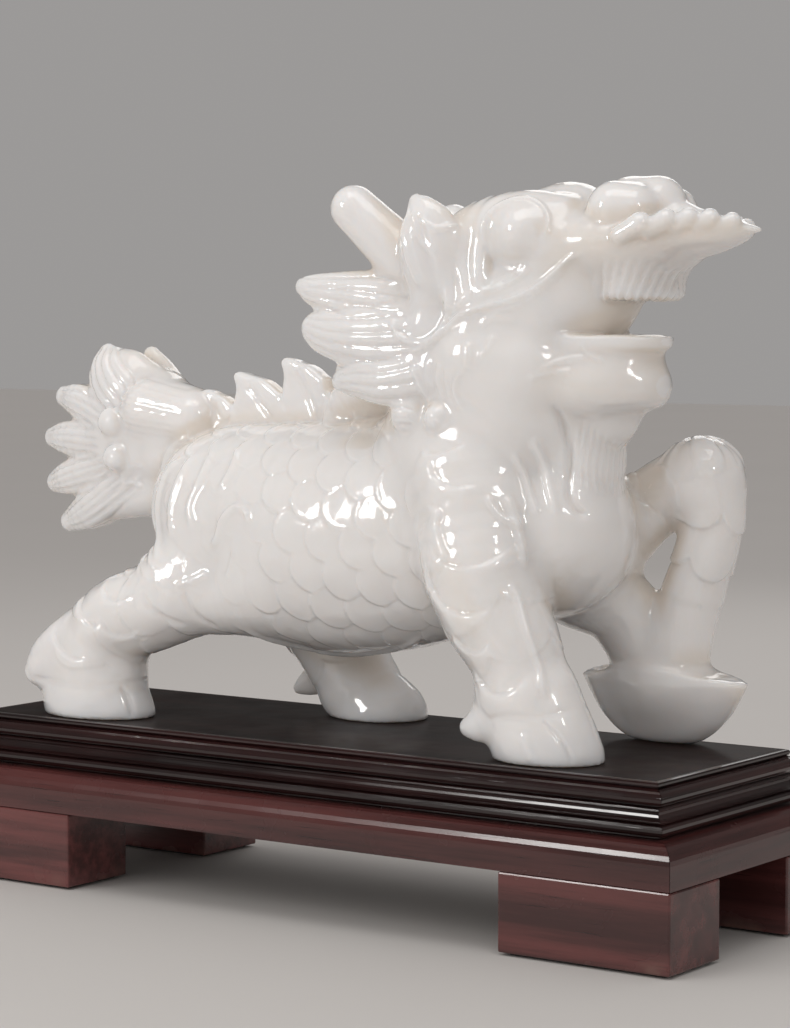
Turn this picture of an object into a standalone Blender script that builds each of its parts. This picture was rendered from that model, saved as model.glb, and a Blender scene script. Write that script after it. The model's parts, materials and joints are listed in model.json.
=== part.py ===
"""Carved stone guardian beast on a moulded hardwood stand.

Frame: metres, +Z up, +X towards the beast's head, -Y towards its right side.
The origin is the centre of the stand's footprint, on the surface that the felt pads rest on.
"""

import math

import bmesh
import bpy
from mathutils import Vector

MM = 0.001

# ---- driving dimensions of the stand, in millimetres ----
STAND_LENGTH = 400.0
STAND_WIDTH = 140.0
STAND_HEIGHT = 76.5
FOOT_LENGTH = 82.0
FOOT_WIDTH = 41.0
FOOT_TOP = 35.0
PAD_THICKNESS = 1.2
PAD_INSET = 4.0
APRON_TOP = 53.6
APRON_THICKNESS = 22.0
APRON_ROUND = 8.0
COVE_TOP = 66.4
COVE_BACK = 30.0
FRAME_BEAD_INSET = 16.4
FRAME_LIP_TOP = 69.4
GAP = 0.3
SOFT_EDGE = 0.8

DOWEL_RADIUS = 4.0
DOWEL_DEPTH = 12.0
DOWEL_PITCH = 42.0
DOWEL_CLEARANCE = 0.3
DOWEL_END_GAP = 0.5
DOWEL_SHIFT_INWARDS = 6.0
GLUE_BLOCK_SIDE = 20.0
BATTEN_WIDTH = 18.0
BATTEN_BOTTOM = 58.0
BATTEN_X = 62.0

# ---- how finely the carved figure is meshed ----
REMESH_SIZE = 1.7
SMOOTH_STEPS = 8
FIGURE_TRIANGLES = 9000

# ---- the carved figure, in millimetres above the stand's board ----
# A limb is a list of (x, y, z, radius) along its middle; squash scales its round section along x, y and z.
ROUND = (1.0, 1.0, 1.0)
FLAT_Y = (1.0, 0.6, 1.0)

BODY = {
    "torso": ([(-78, 0, 97, 38), (-62, 0, 92, 46), (-35, 0, 87, 51), (0, 0, 87, 53), (40, 0, 94, 50),
               (72, 0, 96, 45)],
              (1.0, 0.84, 1.0)),
    "rump": ([(-78, -9, 98, 30), (-74, 9, 96, 32)], ROUND),
    "chest": ([(84, 0, 96, 42), (98, 3, 94, 38)], ROUND),
    "neck": ([(60, 0, 128, 42), (84, 0, 150, 42), (90, 0, 186, 34)], ROUND),
    "throat_front": ([(106, 0, 104, 26), (107, 0, 124, 22), (106, 0, 150, 26)], ROUND),
    "nape": ([(62, 0, 182, 30), (34, 0, 174, 24), (8, 0, 160, 17), (-12, 0, 146, 10)], ROUND),
    "crest_base": ([(-92, 0, 132, 8), (-80, 0, 138, 8), (-40, 0, 140, 9), (0, 0, 146, 10)], FLAT_Y),
}

HEAD = {
    "horn_right": ([(52, -25, 203, 13), (35, -31, 218, 11), (20, -36, 233.5, 10)], ROUND),
    "horn_left": ([(54, 25, 198, 13), (38, 31, 213, 11), (24, 35, 227, 9.5)], ROUND),
    "skull": ([(76, 0, 204, 31), (96, 0, 208, 29)], ROUND),
    "forehead": ([(66, 0, 214, 21), (96, 0, 219, 19), (124, 0, 222, 15)], ROUND),
    "snout": ([(104, 0, 208, 26), (128, 0, 213, 23), (142, 0, 216, 18)], ROUND),
    "muzzle": ([(112, 0, 213, 29), (128, 0, 214, 28), (143, 0, 214, 24)], (1.0, 1.0, 0.62)),
    "fringe": ([(143, 0, 208, 18), (144, 0, 202, 17)], (1.0, 1.1, 0.8)),
    "palate": ([(106, 0, 202, 34)], (1.0, 0.85, 1.0)),
    "lip_plate": ([(130, 0, 222, 28), (150, 0, 221, 25), (172, 0, 222, 19), (186, 0, 223, 13),
                   (193.4, 0, 223, 6.2)],
                  (1.0, 1.0, 0.52)),
    "nose_middle": ([(140, 1, 228, 15), (149, 2, 232, 13.5)], ROUND),
    "nostril_right": ([(138, -14, 231, 11.8)], ROUND),
    "nostril_left": ([(144, 15, 231, 11.8)], ROUND),
    "throat": ([(100, 0, 162, 28), (108, 0, 196, 28)], (1.0, 0.8, 1.0)),
    "lower_jaw": ([(98, 0, 160, 34), (124, 0, 160, 28), (142, 0, 160, 17)], (1.0, 1.0, 0.62)),
    "chin": ([(116, 0, 145, 19), (129, 0, 144, 15)], ROUND),
    "beard": ([(118, 0, 140, 15), (118, 0, 122, 14.5), (119, 0, 112, 9)], (1.0, 1.2, 1.0)),
}

PAIRED = {
    "eye": ([(102, -27, 224, 12.3)], ROUND),
    "brow": ([(66, -25, 211, 10), (70, -25, 221, 9), (84, -24, 227, 10), (99, -20, 231, 9),
              (114, -15, 232, 8),
              (125, -11, 228, 8)], ROUND),
    "temple": ([(74, -20, 192, 19), (92, -19, 196, 18)], ROUND),
    "cheek": ([(78, -20, 168, 26), (98, -17, 166, 25)], ROUND),
    "lip_rim": ([(110, -25, 172, 4.5), (132, -21, 173.5, 4.5), (148, -11, 174, 4.5),
                 (155, 0, 174, 4.5)], ROUND),
    "ear": ([(66, -33, 194, 10), (62, -37, 215, 11), (62, -38, 226, 9.5), (54, -39, 236, 3.5)], FLAT_Y),
    "lock_high": ([(58, -26, 190, 15), (30, -33, 194, 13), (6, -36, 197.5, 9),
                   (-6, -37, 199.5, 5)], (1.0, 0.7, 1.0)),
    "lock_middle": ([(62, -30, 178, 16), (30, -36, 177, 14), (8, -38, 180, 10),
                     (-2, -38, 182, 5.5)], (1.0, 0.7, 1.0)),
    "lock_low": ([(66, -34, 162, 13), (40, -38, 160, 11), (23, -39, 160, 8.5), (15, -39, 158, 5)], ROUND),
    "curl_rear": ([(46, -38, 146, 8), (38, -39, 150, 7)], ROUND),
    "curl_front": ([(70, -38, 142, 10), (60, -39, 144, 9)], ROUND),
}

LEGS = {
    "right_hind": ([(-74, -15, 88, 30), (-93, -26, 59, 24), (-118, -31, 44, 21), (-130, -32, 28, 20),
                    (-130, -32, 16, 20)],
                   ROUND),
    "right_flank": ([(-76, -20, 74, 30), (-52, -20, 66, 26)], ROUND),
    "right_hind_hoof": ([(-130, -32, 31, 17.5), (-133, -32, 12, 20), (-131, -32, 2, 21)], (1.42, 1.0, 1.0)),
    "right_hind_spur": ([(-142, -33, 37, 13), (-156, -33, 27, 12), (-166, -33, 20, 8.5)], FLAT_Y),
    "left_hind": ([(-74, 14, 84, 34), (-55, 28, 52, 22), (-38, 33, 31, 21), (-30, 35, 16, 20)], ROUND),
    "left_hind_hoof": ([(-26, 35, 10, 19), (-18, 35, 2, 22)], (1.1, 1.0, 1.0)),
    "left_hind_spur": ([(-48, 35, 18, 10), (-58, 35, 12, 7), (-65, 35, 9, 3)], FLAT_Y),
    "right_fore": ([(74, -18, 112, 33), (84, -30, 82, 27), (91, -33, 62, 24.5), (99, -33, 50, 21.5),
                    (107, -33, 37, 19),
                    (110, -33, 24, 18.5)], ROUND),
    "right_fore_hoof": ([(110, -33, 27, 18), (115, -33, 12, 19.5), (119, -32, 2, 20)], (1.26, 1.0, 1.0)),
    "right_fore_spur": ([(94, -34, 26, 12), (82, -35, 16, 7), (77, -35, 11, 3)], FLAT_Y),
    "left_forearm": ([(98, 24, 80, 27), (121, 38, 101, 20), (136, 43, 111, 17.5),
                      (149, 45, 117, 17.5)], ROUND),
    "left_shank": ([(149, 45, 117, 17.5), (153, 45, 100, 14.5), (149, 45, 84, 13.5), (144, 45, 66, 13.5),
                    (135, 45, 40, 14.5), (133, 45, 28, 15)], ROUND),
    "left_web": ([(100, 24, 66, 18), (112, 38, 52, 16), (121, 45, 36, 18), (124, 45, 24, 18)], ROUND),
}

INGOT_CENTRE = (130, 45)
INGOT_HALF_LENGTH = 40.5
INGOT_HALF_WIDTH = 17.0
INGOT_END_HALF_WIDTH = 1.5
INGOT_TOP = 29.0
INGOT_FLAT_BOTTOM = 0.35
INGOT_TIP_BOTTOM = 23.0

TAIL = {
    "root": ([(-88, 0, 114, 19), (-112, 0, 124, 20)], (1.0, 0.8, 1.0)),
    "fan": ([(-124, 0, 126, 29), (-146, 0, 127, 27)], (1.0, 0.6, 1.0)),
    "swell": ([(-100, -5, 142, 12), (-119, -7, 148, 12)], ROUND),
    "underside": ([(-122, 0, 103, 12), (-150, 0, 98, 11)], ROUND),
    "far_lobe": ([(-122, 10, 146, 13), (-132, 14, 160, 10), (-136, 15, 168, 4)], FLAT_Y),
}
# Lobes of the tail's fan: (tip x, tip z, middle x, middle z, middle radius).
TAIL_MIDDLE = (-140, 127)
TAIL_LOBES = [(-150, 169, -147, 156, 14), (-179, 148, -166, 146, 9), (-187, 128, -174, 128, 9.5),
              (-186, 107, -172, 109, 9.5), (-177, 86, -158, 96, 10)]
TAIL_TIP_RADIUS = 6.0

# Teeth of the crest lean back: (x of the tip, height of the tip, length along the spine).
CREST_TEETH = [(-89, 151, 19), (-69, 160, 26), (-42, 166, 26)]
CREST_FOOT = 136.0
CREST_HALF_THICKNESS = 4.0


# ---------------------------------------------------------------- scene helpers

def clear_scene():
    for obj in list(bpy.data.objects):
        bpy.data.objects.remove(obj, do_unlink=True)


def collection(name):
    made = bpy.data.collections.new(name)
    bpy.context.scene.collection.children.link(made)
    return made


def material(name, colour, roughness, metallic=0.0):
    made = bpy.data.materials.new(name)
    made.use_nodes = True
    shader = made.node_tree.nodes["Principled BSDF"]
    shader.inputs["Base Color"].default_value = (*colour, 1.0)
    shader.inputs["Roughness"].default_value = roughness
    shader.inputs["Metallic"].default_value = metallic
    return made


def add_object(name, data, home, mat=None):
    obj = bpy.data.objects.new(name, data)
    home.objects.link(obj)
    if mat is not None:
        data.materials.append(mat)
    return obj


def mesh_object(name, bm, home, mat=None, sharp_degrees=35):
    """Turns a bmesh, built in millimetres, into an object in metres."""
    bmesh.ops.scale(bm, vec=(MM, MM, MM), verts=bm.verts)
    bmesh.ops.recalc_face_normals(bm, faces=bm.faces)
    mesh = bpy.data.meshes.new(name)
    bm.to_mesh(mesh)
    bm.free()
    mesh.shade_smooth()
    mesh.set_sharp_from_angle(angle=math.radians(sharp_degrees))
    return add_object(name, mesh, home, mat)


def bevel(obj, width, segments=2):
    made = obj.modifiers.new("soft_edges", "BEVEL")
    made.width = width * MM
    made.segments = segments
    made.limit_method = "ANGLE"
    return made


def subtract(obj, cutter):
    made = obj.modifiers.new("cut_" + cutter.name, "BOOLEAN")
    made.operation = "DIFFERENCE"
    made.object = cutter
    return made


# ---------------------------------------------------------------- shapes of the stand

def box(name, size, centre, home, mat=None, edge=0.0):
    bm = bmesh.new()
    bmesh.ops.create_cube(bm, size=1.0)
    bmesh.ops.scale(bm, vec=size, verts=bm.verts)
    obj = mesh_object(name, bm, home, mat)
    obj.location = Vector(centre) * MM
    if edge:
        bevel(obj, edge)
    return obj


def cylinder(name, radius, depth, centre, home, mat=None, segments=20, edge=0.0):
    bm = bmesh.new()
    bmesh.ops.create_cone(bm, cap_ends=True, segments=segments, radius1=radius, radius2=radius, depth=depth)
    obj = mesh_object(name, bm, home, mat)
    obj.location = Vector(centre) * MM
    if edge:
        bevel(obj, edge, segments=1)
    return obj


def arc(centre_inset, centre_z, radius, start, end, steps):
    """Points of an arc in a profile; angle 0 points outwards and 90 points up, in degrees."""
    points = []
    for i in range(steps + 1):
        angle = math.radians(start + (end - start) * i / steps)
        points.append((centre_inset + radius * math.cos(angle), centre_z + radius * math.sin(angle)))
    return points


def frame_profile():
    """Section of the top frame, as (outset from the stand's outer face, z): a fine bead over a torus,
    with a lip behind that the panel lies on."""
    bead = arc(-14.8, STAND_HEIGHT - 1.3, 1.3, 90, -90, 5)
    torus = arc(-13.0, 70.0, 3.2, 90, -90, 8)
    front = [(-FRAME_BEAD_INSET, STAND_HEIGHT)] + bead + torus + [(-14.2, COVE_TOP + GAP)]
    lip = [(-COVE_BACK, COVE_TOP + GAP), (-COVE_BACK, FRAME_LIP_TOP), (-FRAME_BEAD_INSET, FRAME_LIP_TOP)]
    return front + lip


def cove_profile():
    """Section of the moulding under the frame: a fillet, a cove and a lower torus with a quirk under it."""
    fillet = arc(-13.9, COVE_TOP - 1.4, 1.4, 90, 0, 3)
    cove = arc(-9.0, 64.4, 4.0, 180, 270, 6)
    torus = arc(-11.4, 57.5, 2.8, 90, -90, 7)
    front = fillet + cove + torus + [(-12.6, 54.7), (-12.6, APRON_TOP + GAP)]
    return front + [(-COVE_BACK, APRON_TOP + GAP), (-COVE_BACK, COVE_TOP)]


def apron_profile():
    """Section of the apron rail: a broad quarter round over a flat."""
    front = arc(-APRON_ROUND, APRON_TOP - APRON_ROUND, APRON_ROUND, 90, 0, 6) + [(0.0, FOOT_TOP + GAP)]
    return front + [(-APRON_THICKNESS, FOOT_TOP + GAP), (-APRON_THICKNESS, APRON_TOP)]


def rail(name, profile, side, home, mat):
    """A rail of one side, swept along its section and mitred at both ends."""
    half_run, half_depth = STAND_LENGTH / 2, STAND_WIDTH / 2
    if side in ("left", "right"):
        half_run, half_depth = half_depth, half_run
    bm = bmesh.new()
    ends = []
    for sign in (-1, 1):
        section = [(sign * (half_run + out - GAP / 2), -half_depth - out, z) for out, z in profile]
        ends.append([bm.verts.new(point) for point in section])
    for i in range(len(profile)):
        j = (i + 1) % len(profile)
        bm.faces.new((ends[0][i], ends[0][j], ends[1][j], ends[1][i]))
    bm.faces.new(ends[0])
    bm.faces.new(reversed(ends[1]))
    obj = mesh_object(name, bm, home, mat)
    obj.rotation_euler.z = math.radians({"front": 0, "right": 90, "back": 180, "left": 270}[side])
    return obj


# ---------------------------------------------------------------- shapes of the figure

def limb(points, squash):
    """A closed tapering tube: a curve with a radius at each point, and a ball on each end."""
    sx, sy, sz = squash
    eased = [(x / sx, y / sy, z / sz, r) for x, y, z, r in points]
    bm = bmesh.new()
    if len(eased) > 1:
        curve = bpy.data.curves.new("limb", "CURVE")
        curve.dimensions = "3D"
        curve.bevel_depth = MM
        curve.bevel_resolution = 10
        curve.resolution_u = 8
        curve.use_fill_caps = True
        spline = curve.splines.new("BEZIER")
        spline.bezier_points.add(len(eased) - 1)
        spline.radius_interpolation = "CARDINAL"
        for knot, (x, y, z, r) in zip(spline.bezier_points, eased):
            knot.co = Vector((x, y, z)) * MM
            knot.radius = r
            knot.handle_left_type = knot.handle_right_type = "AUTO"
        tube = bpy.data.objects.new("limb", curve)
        bpy.context.scene.collection.objects.link(tube)
        bpy.context.view_layer.update()
        mesh = bpy.data.meshes.new_from_object(tube.evaluated_get(bpy.context.evaluated_depsgraph_get()))
        bpy.data.objects.remove(tube, do_unlink=True)
        bm.from_mesh(mesh)
    for x, y, z, r in (eased[0], eased[-1]):
        ball = bmesh.ops.create_uvsphere(bm, u_segments=36, v_segments=20, radius=r * MM)
        bmesh.ops.translate(bm, vec=Vector((x, y, z)) * MM, verts=ball["verts"])
    bmesh.ops.remove_doubles(bm, verts=bm.verts, dist=0.00001)
    bmesh.ops.scale(bm, vec=squash, verts=bm.verts)
    return bm


def mirrored(points):
    return [(x, -y, z, r) for x, y, z, r in points]


def tail_lobe(tip_x, tip_z, middle_x, middle_z, middle_radius):
    start_x, start_z = TAIL_MIDDLE
    return [(start_x, 0, start_z, middle_radius + 3), (middle_x, 0, middle_z, middle_radius),
            (tip_x, 0, tip_z, TAIL_TIP_RADIUS)]


def crest_tooth(tip_x, tip_z, length):
    """A thin wave that rises steeply to a tip at its back and falls away forwards."""
    outline = [(tip_x - 5, CREST_FOOT), (tip_x - 1, tip_z - 3), (tip_x + 1, tip_z),
               (tip_x + 0.3 * length, tip_z - 1.5),
               (tip_x + 0.75 * length, tip_z - 5.0), (tip_x + length, tip_z - 11.0),
               (tip_x + length + 2, CREST_FOOT)]
    bm = bmesh.new()
    faces_at = (-CREST_HALF_THICKNESS, CREST_HALF_THICKNESS)
    sides = [[bm.verts.new((x, y, z)) for x, z in outline] for y in faces_at]
    bm.faces.new(sides[0])
    bm.faces.new(reversed(sides[1]))
    for i in range(len(outline)):
        j = (i + 1) % len(outline)
        bm.faces.new((sides[0][i], sides[1][i], sides[1][j], sides[0][j]))
    bmesh.ops.scale(bm, vec=(MM, MM, MM), verts=bm.verts)
    return bm


def ingot():
    """Boat-shaped ingot under the raised forefoot: level on top, with a hull that rises to two blunt ends."""
    stations, around, roundness = 24, 20, 0.8
    cx, cy = INGOT_CENTRE
    bm = bmesh.new()
    rings = []
    for i in range(stations + 1):
        along = -math.cos(math.pi * i / stations) * 0.995
        reach = abs(along)
        climb = max(0.0, reach - INGOT_FLAT_BOTTOM) / (1.0 - INGOT_FLAT_BOTTOM)
        bottom = INGOT_TIP_BOTTOM * climb ** 1.6
        middle, half_height = (INGOT_TOP + bottom) / 2, (INGOT_TOP - bottom) / 2
        bulge = math.sqrt(1.0 - reach ** 2.2)
        half_width = INGOT_END_HALF_WIDTH + (INGOT_HALF_WIDTH - INGOT_END_HALF_WIDTH) * bulge
        ring = []
        for k in range(around):
            angle = 2 * math.pi * k / around
            y = half_width * math.copysign(abs(math.cos(angle)) ** roundness, math.cos(angle))
            z = half_height * math.copysign(abs(math.sin(angle)) ** roundness, math.sin(angle))
            ring.append(bm.verts.new((cx + INGOT_HALF_LENGTH * along, cy + y, middle + z)))
        rings.append(ring)
    for left, right in zip(rings, rings[1:]):
        for k in range(around):
            n = (k + 1) % around
            bm.faces.new((left[k], right[k], right[n], left[n]))
    bm.faces.new(rings[0])
    bm.faces.new(reversed(rings[-1]))
    bmesh.ops.scale(bm, vec=(MM, MM, MM), verts=bm.verts)
    return bm


def figure_forms():
    """Every form that the carving is blocked out from, as closed bmeshes."""
    for group in (BODY, HEAD, LEGS, TAIL):
        for points, squash in group.values():
            yield limb(points, squash)
    for points, squash in PAIRED.values():
        yield limb(points, squash)
        yield limb(mirrored(points), squash)
    for lobe in TAIL_LOBES:
        yield limb(tail_lobe(*lobe), (1.0, 0.75, 1.0))
    for tooth in CREST_TEETH:
        yield crest_tooth(*tooth)
    yield ingot()


def figure(name, home, cutters, mat):
    """The carving is one block of stone: its forms are fused by a voxel remesh and cut flat under the feet."""
    joined = bpy.data.meshes.new(name)
    whole = bmesh.new()
    for form in figure_forms():
        part = bpy.data.meshes.new("form")
        form.to_mesh(part)
        form.free()
        whole.from_mesh(part)
        bpy.data.meshes.remove(part)
    bmesh.ops.recalc_face_normals(whole, faces=whole.faces)
    whole.to_mesh(joined)
    whole.free()
    obj = add_object(name, joined, home, mat)
    obj.location.z = (STAND_HEIGHT + GAP) * MM

    fuse = obj.modifiers.new("fuse", "REMESH")
    fuse.mode = "VOXEL"
    fuse.voxel_size = REMESH_SIZE * MM
    fuse.use_smooth_shade = True
    ease = obj.modifiers.new("ease", "SMOOTH")
    ease.factor = 0.5
    ease.iterations = SMOOTH_STEPS

    bpy.context.view_layer.update()
    faces = len(obj.evaluated_get(bpy.context.evaluated_depsgraph_get()).data.polygons)
    thin = obj.modifiers.new("thin_out", "DECIMATE")
    thin.ratio = FIGURE_TRIANGLES / (2.0 * faces)

    floor = box("figure_floor_cutter", (STAND_LENGTH * 1.2, STAND_WIDTH * 1.6, STAND_HEIGHT),
                (0, 0, STAND_HEIGHT / 2 + GAP), cutters)
    floor.hide_render = True
    floor.display_type = "WIRE"
    subtract(obj, floor)
    return obj


# ---------------------------------------------------------------- assembly

def build_stand(home, cutters):
    lacquer = material("stand_lacquer", (0.075, 0.018, 0.015), 0.25)
    plain_wood = material("inner_wood", (0.30, 0.17, 0.09), 0.6)
    felt = material("felt", (0.02, 0.02, 0.02), 0.95)

    panel_bottom = FRAME_LIP_TOP + GAP
    panel_inset = 2 * (FRAME_BEAD_INSET + GAP)
    box("top_panel", (STAND_LENGTH - panel_inset, STAND_WIDTH - panel_inset, STAND_HEIGHT - panel_bottom),
        (0, 0, (STAND_HEIGHT + panel_bottom) / 2), home, lacquer)
    for side in ("front", "back", "left", "right"):
        rail("frame_rail_" + side, frame_profile(), side, home, lacquer)
        rail("cove_moulding_" + side, cove_profile(), side, home, lacquer)
        rail("apron_rail_" + side, apron_profile(), side, home, lacquer)

    foot_height = FOOT_TOP - PAD_THICKNESS
    for x_name, sx in (("left", -1), ("right", 1)):
        for y_name, sy in (("front", -1), ("back", 1)):
            where = y_name + "_" + x_name
            cx = sx * (STAND_LENGTH - FOOT_LENGTH) / 2
            cy = sy * (STAND_WIDTH - FOOT_WIDTH) / 2
            foot = box("foot_" + where, (FOOT_LENGTH, FOOT_WIDTH, foot_height),
                       (cx, cy, PAD_THICKNESS + foot_height / 2), home, lacquer, edge=SOFT_EDGE)
            pad = (FOOT_LENGTH - 2 * PAD_INSET, FOOT_WIDTH - 2 * PAD_INSET, PAD_THICKNESS - GAP)
            box("felt_pad_" + where, pad, (cx, cy, (PAD_THICKNESS - GAP) / 2), home, felt)
            block_x = sx * (STAND_LENGTH / 2 - APRON_THICKNESS - GAP - GLUE_BLOCK_SIDE / 2)
            block_y = sy * (STAND_WIDTH / 2 - APRON_THICKNESS - GAP - GLUE_BLOCK_SIDE / 2)
            box("glue_block_" + where, (GLUE_BLOCK_SIDE, GLUE_BLOCK_SIDE, APRON_TOP - FOOT_TOP - 2 * GAP),
                (block_x, block_y, (APRON_TOP + FOOT_TOP) / 2), home, plain_wood, edge=SOFT_EDGE)
            rail_above = bpy.data.objects["apron_rail_" + y_name]
            for index, offset in enumerate((-DOWEL_PITCH / 2, DOWEL_PITCH / 2), start=1):
                dx = cx + offset - sx * DOWEL_SHIFT_INWARDS
                dy = sy * (STAND_WIDTH / 2 - APRON_THICKNESS / 2)
                centre = (dx, dy, FOOT_TOP)
                cylinder(f"dowel_{where}_{index}", DOWEL_RADIUS, 2 * (DOWEL_DEPTH - DOWEL_END_GAP),
                         centre, home, plain_wood, edge=SOFT_EDGE)
                hole = cylinder(f"dowel_hole_{where}_{index}", DOWEL_RADIUS + DOWEL_CLEARANCE,
                                2 * DOWEL_DEPTH, centre, cutters)
                hole.hide_render = True
                hole.display_type = "WIRE"
                subtract(foot, hole)
                subtract(rail_above, hole)

    batten_height = FRAME_LIP_TOP - BATTEN_BOTTOM
    for x_name, sx in (("left", -1), ("right", 1)):
        box("batten_" + x_name, (BATTEN_WIDTH, STAND_WIDTH - 2 * COVE_BACK - 2 * GAP, batten_height),
            (sx * BATTEN_X, 0, BATTEN_BOTTOM + batten_height / 2), home, plain_wood, edge=SOFT_EDGE)


def main():
    clear_scene()
    home = collection("guardian_beast_statue")
    cutters = collection("cutters")
    build_stand(home, cutters)
    stone = material("white_stone", (0.86, 0.84, 0.80), 0.12)
    figure("carved_figure", home, cutters, stone)


main()
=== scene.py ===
"""Looks for the carved stone beast on its hardwood stand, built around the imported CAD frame.

The beast is sculpted as one block of stone: forms are joined and carved on a grid of distances, the grid is
meshed, and the carver's lines, scales and hair are then cut into the mesh. All its sizes are in millimetres,
measured from the board that it stands on: +X towards the head, -Y towards the right flank, +Z up.
"""

import json
import math

import bmesh
import bpy
import numpy as np
import openvdb
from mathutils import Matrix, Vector

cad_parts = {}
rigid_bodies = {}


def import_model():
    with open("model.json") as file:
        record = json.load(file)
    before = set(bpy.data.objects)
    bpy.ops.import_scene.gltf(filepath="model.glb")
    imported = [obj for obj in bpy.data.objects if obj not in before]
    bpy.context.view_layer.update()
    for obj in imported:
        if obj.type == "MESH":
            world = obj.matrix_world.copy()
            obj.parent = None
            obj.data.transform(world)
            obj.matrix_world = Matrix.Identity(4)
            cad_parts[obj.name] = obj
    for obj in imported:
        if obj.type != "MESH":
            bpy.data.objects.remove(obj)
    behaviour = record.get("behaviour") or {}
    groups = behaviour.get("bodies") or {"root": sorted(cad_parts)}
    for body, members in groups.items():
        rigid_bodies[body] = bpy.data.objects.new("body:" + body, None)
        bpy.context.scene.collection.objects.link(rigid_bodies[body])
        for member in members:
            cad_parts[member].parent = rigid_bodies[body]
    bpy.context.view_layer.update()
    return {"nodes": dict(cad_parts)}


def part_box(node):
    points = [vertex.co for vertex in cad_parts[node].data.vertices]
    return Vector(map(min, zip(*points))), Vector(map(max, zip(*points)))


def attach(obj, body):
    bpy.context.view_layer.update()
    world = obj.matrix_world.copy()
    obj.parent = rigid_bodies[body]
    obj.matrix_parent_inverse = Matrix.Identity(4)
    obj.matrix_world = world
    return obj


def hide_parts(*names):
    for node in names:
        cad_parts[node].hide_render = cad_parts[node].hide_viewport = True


for leftover in list(bpy.data.objects):
    bpy.data.objects.remove(leftover, do_unlink=True)

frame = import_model()

MM = 0.001
FIGURE_LOW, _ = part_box("carved_figure")

# ---- how finely the stone is cut, in millimetres ----
CELL = 1.0
BLOCK_LOW = (-200.0, -66.0, -4.0)
BLOCK_HIGH = (206.0, 70.0, 252.0)
FAR = 30.0

ROUND = (1.0, 1.0, 1.0)
LEAF = (1.0, 0.6, 1.0)


# ================================================================ solid forms, as distances in mm

def smooth_min(a, b, blend):
    if blend <= 0.0:
        return np.minimum(a, b)
    share = np.clip(0.5 + 0.5 * (b - a) / blend, 0.0, 1.0)
    return b + (a - b) * share - blend * share * (1.0 - share)


def smooth_step(value):
    value = np.clip(value, 0.0, 1.0)
    return value * value * (3.0 - 2.0 * value)


def eased(points, steps=5):
    """A smooth path through the points, as Catmull-Rom spans."""
    p = np.asarray(points, float)
    if len(p) < 3:
        return p
    p = np.vstack([2 * p[0] - p[1], p, 2 * p[-1] - p[-2]])
    out = []
    for a, b, c, d in zip(p[:-3], p[1:-2], p[2:-1], p[3:]):
        for t in np.arange(steps) / steps:
            out.append(0.5 * (2 * b + (c - a) * t + (2 * a - 5 * b + 4 * c - d) * t ** 2
                              + (3 * b - a - 3 * c + d) * t ** 3))
    out.append(p[-2])
    return np.array(out)


class Chain:
    """A round tube of changing radius along a smooth path of (x, y, z, radius). squash scales it along x, y
    and z. A paired chain is given on the right side (y below 0) and also stands on the left."""

    def __init__(self, points, squash=ROUND, paired=False):
        self.squash = np.array(squash, float)
        self.shrink = self.squash.min()
        self.paired = paired
        p = np.array(points, float)
        p[:, :3] /= self.squash
        self.path = eased(p)

    def box(self):
        r = self.path[:, 3:4]
        low = (self.path[:, :3] - r).min(0) * self.squash
        high = (self.path[:, :3] + r).max(0) * self.squash
        if self.paired:
            high[1] = -low[1]
        return low, high

    def distance(self, x, y, z):
        if self.paired:
            y = -np.abs(y)
        x, y, z = x / self.squash[0], y / self.squash[1], z / self.squash[2]
        if len(self.path) == 1:
            cx, cy, cz, r = self.path[0]
            return (np.sqrt((x - cx) ** 2 + (y - cy) ** 2 + (z - cz) ** 2) - r) * self.shrink
        best = None
        for start, end in zip(self.path[:-1], self.path[1:]):
            run = end - start
            length2 = float(run[:3] @ run[:3]) + 1e-9
            px, py, pz = x - start[0], y - start[1], z - start[2]
            t = np.clip((px * run[0] + py * run[1] + pz * run[2]) / length2, 0.0, 1.0)
            gap = np.sqrt((px - t * run[0]) ** 2 + (py - t * run[1]) ** 2 + (pz - t * run[2]) ** 2)
            gap -= start[3] + t * run[3]
            best = gap if best is None else np.minimum(best, gap)
        return best * self.shrink


def ball(x, y, z, r, paired=False):
    return Chain([(x, y, z, r)], ROUND, paired)


class Slab:
    """A flat plate cut to an outline in the x-z plane, centred on y = 0, with rounded edges."""

    shrink = 1.0
    paired = False

    def __init__(self, outline, half_width, rounding):
        ring = np.array(outline, float)
        self.ring = eased(np.vstack([ring[-2:], ring, ring[:2]]), 4)[4:4 + 4 * len(outline)]
        self.half_width, self.rounding = half_width, rounding

    def box(self):
        (x0, z0), (x1, z1) = self.ring.min(0), self.ring.max(0)
        return np.array([x0, -self.half_width, z0]), np.array([x1, self.half_width, z1])

    def outline_distance(self, x, z):
        """Signed distance to the outline, negative inside."""
        best = np.inf
        inside = False
        for (ax, az), (bx, bz) in zip(self.ring, np.roll(self.ring, -1, axis=0)):
            ex, ez = bx - ax, bz - az
            t = np.clip(((x - ax) * ex + (z - az) * ez) / (ex * ex + ez * ez), 0.0, 1.0)
            best = np.minimum(best, (x - ax - t * ex) ** 2 + (z - az - t * ez) ** 2)
            if ez:
                inside ^= ((az > z) != (bz > z)) & (x < ax + ex * (z - az) / ez)
        return np.where(inside, -1.0, 1.0) * np.sqrt(best)

    def distance(self, x, y, z):
        across = self.outline_distance(x, z) + self.rounding
        deep = np.abs(y) - self.half_width + self.rounding
        across, deep = np.broadcast_arrays(across, deep)
        outside = np.hypot(np.maximum(across, 0.0), np.maximum(deep, 0.0))
        return outside + np.minimum(np.maximum(across, deep), 0.0) - self.rounding


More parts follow.
